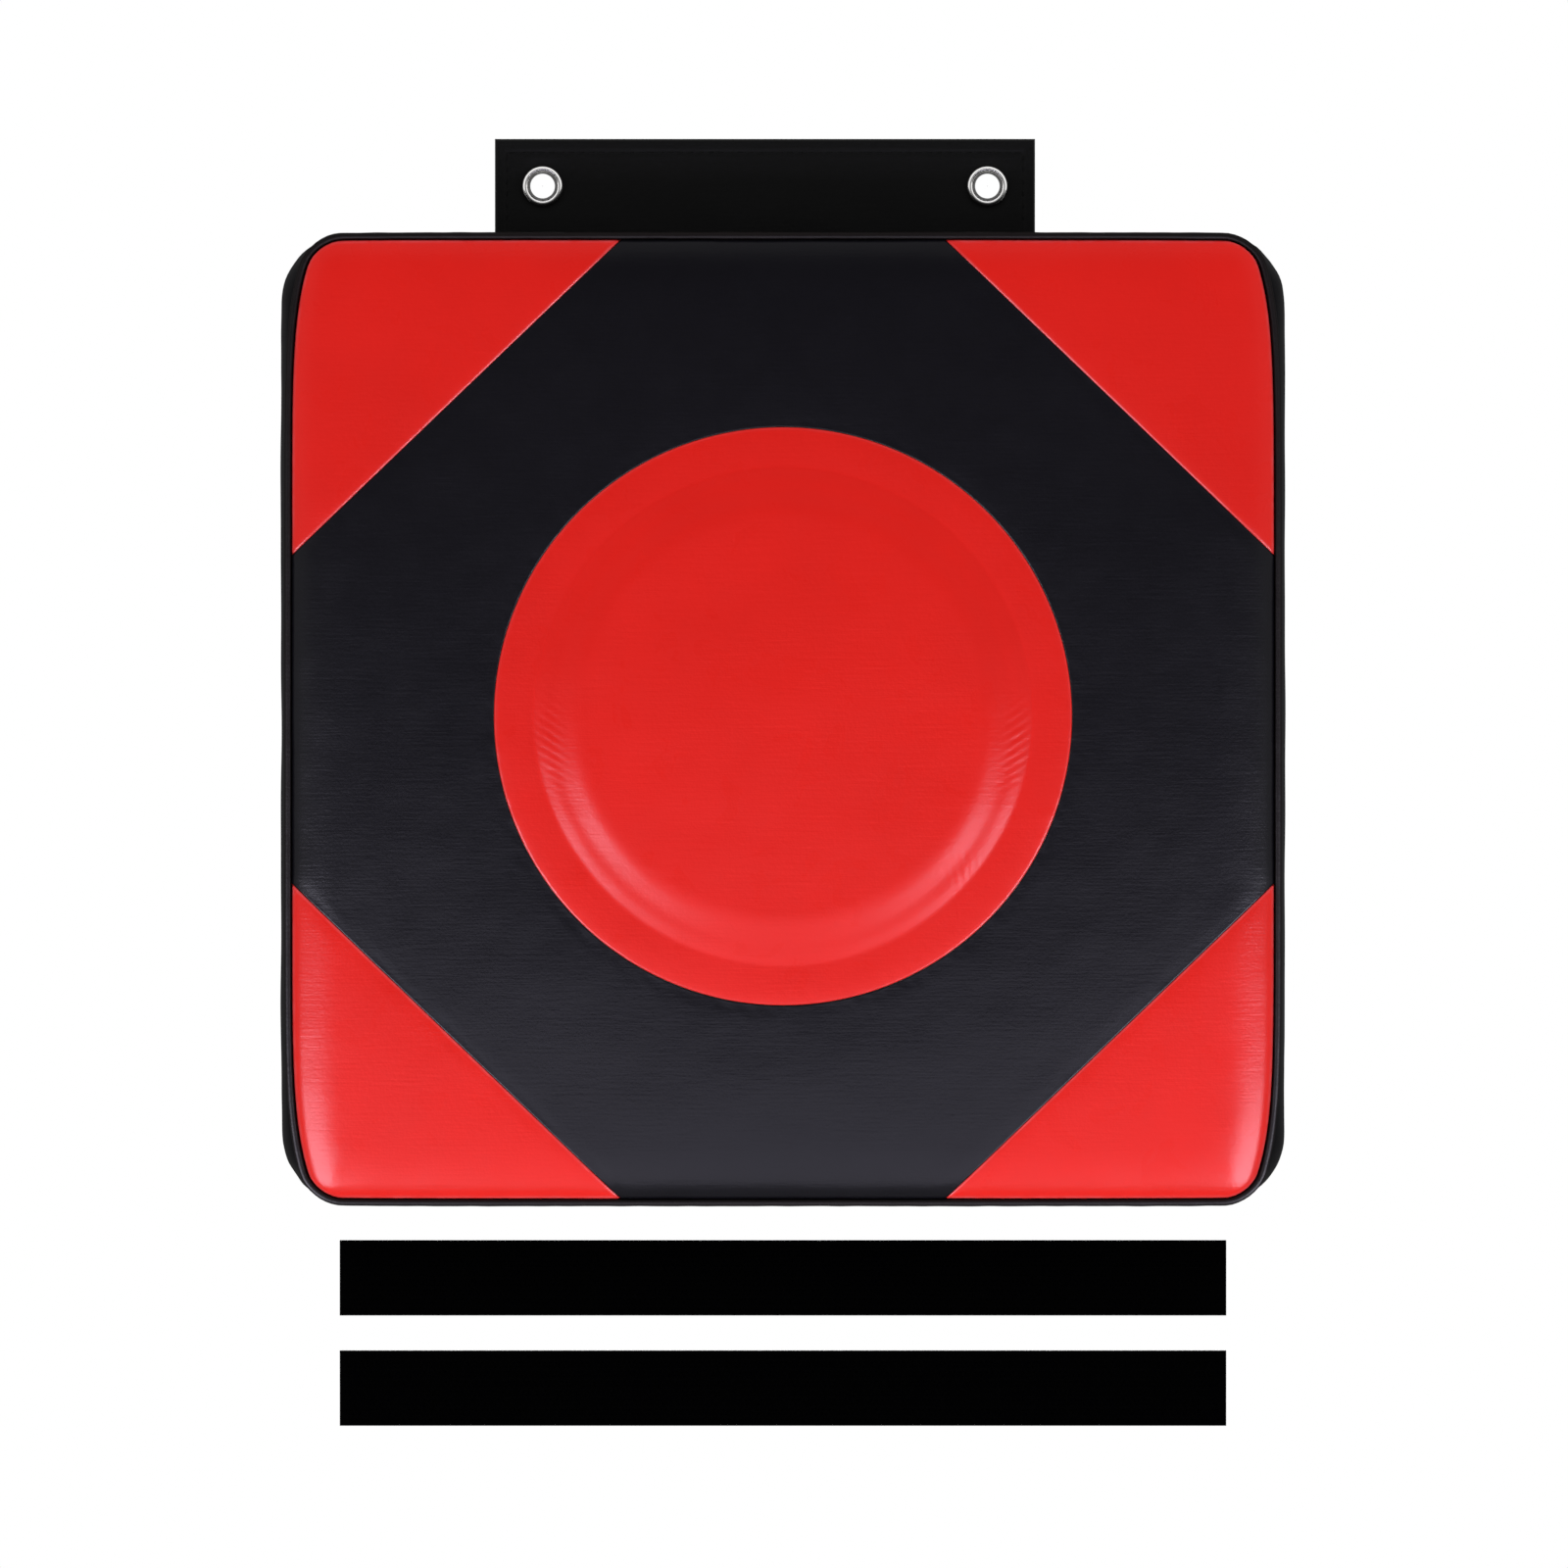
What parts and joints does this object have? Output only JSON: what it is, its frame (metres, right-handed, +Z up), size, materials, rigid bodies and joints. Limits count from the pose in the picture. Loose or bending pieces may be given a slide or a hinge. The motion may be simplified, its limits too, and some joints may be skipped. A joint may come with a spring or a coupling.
{
  "type": "wall punch pad",
  "caption": "Square foam wall punch pad with a raised round target, a flap with two eyelets for hanging, and separate hook-and-loop strips.",
  "frame": {"origin": "on the wall plane at the pad's back, on the pad's vertical centre line, level with the centres of the two eyelets in the hanging flap", "axes": "+Z up the wall, +Y into the wall, so the struck face looks along -Y; +X to the right of someone facing the pad"},
  "size_m": [0.4, 0.065, 0.5142],
  "materials": {
    "red_leather": "satin",
    "black_face_leather": "satin",
    "black_side_leather": "satin",
    "black_back_leather": "satin",
    "black_flap_leather": "satin",
    "black_piping": "satin",
    "soft_foam": "matte",
    "firm_foam": "matte",
    "loop_tape": "matte",
    "hook_tape": "matte",
    "adhesive": "satin",
    "eyelet_metal": "polished"
  },
  "bodies": {
    "hanging_flap": {"flap_upper": "black_flap_leather", "grommet_left": "eyelet_metal", "grommet_right": "eyelet_metal", "grommet_washer_left": "eyelet_metal", "grommet_washer_right": "eyelet_metal"},
    "pad": {"black_face_panel": "black_face_leather", "red_corner_panel_top_left": "red_leather", "red_corner_panel_top_right": "red_leather", "red_corner_panel_bottom_left": "red_leather", "red_corner_panel_bottom_right": "red_leather", "red_target_panel": "red_leather", "target_foam_disc": "soft_foam", "face_foam": "soft_foam", "base_foam": "firm_foam", "back_panel": "black_back_leather", "gusset": "black_side_leather", "front_piping": "black_piping", "back_piping": "black_piping", "flap_tab": "black_flap_leather", "loop_tape_upper": "loop_tape", "loop_tape_lower": "loop_tape"},
    "upper_hook_strip": {"hook_strip_upper": "hook_tape", "strip_adhesive_upper": "adhesive"},
    "lower_hook_strip": {"hook_strip_lower": "hook_tape", "strip_adhesive_lower": "adhesive"}
  },
  "joints": [
    {"name": "flap_fold", "type": "hinge", "parent": "hanging_flap", "child": "pad", "pos_m": [0, -0.003, -0.0175], "axis": [-1, 0, 0], "range_deg": [0, 70]},
    {"name": "upper_strip_place", "type": "slide", "parent": "hanging_flap", "child": "upper_hook_strip", "axis": [0, 0, 1], "range_m": [0, 0.3412]},
    {"name": "lower_strip_place", "type": "slide", "parent": "hanging_flap", "child": "lower_hook_strip", "axis": [0, 0, 1], "range_m": [0, 0.1253]}
  ],
  "couplings": [
    {"joint": "lower_strip_place", "follows": "upper_strip_place", "ratio": 0.3672}
  ]
}
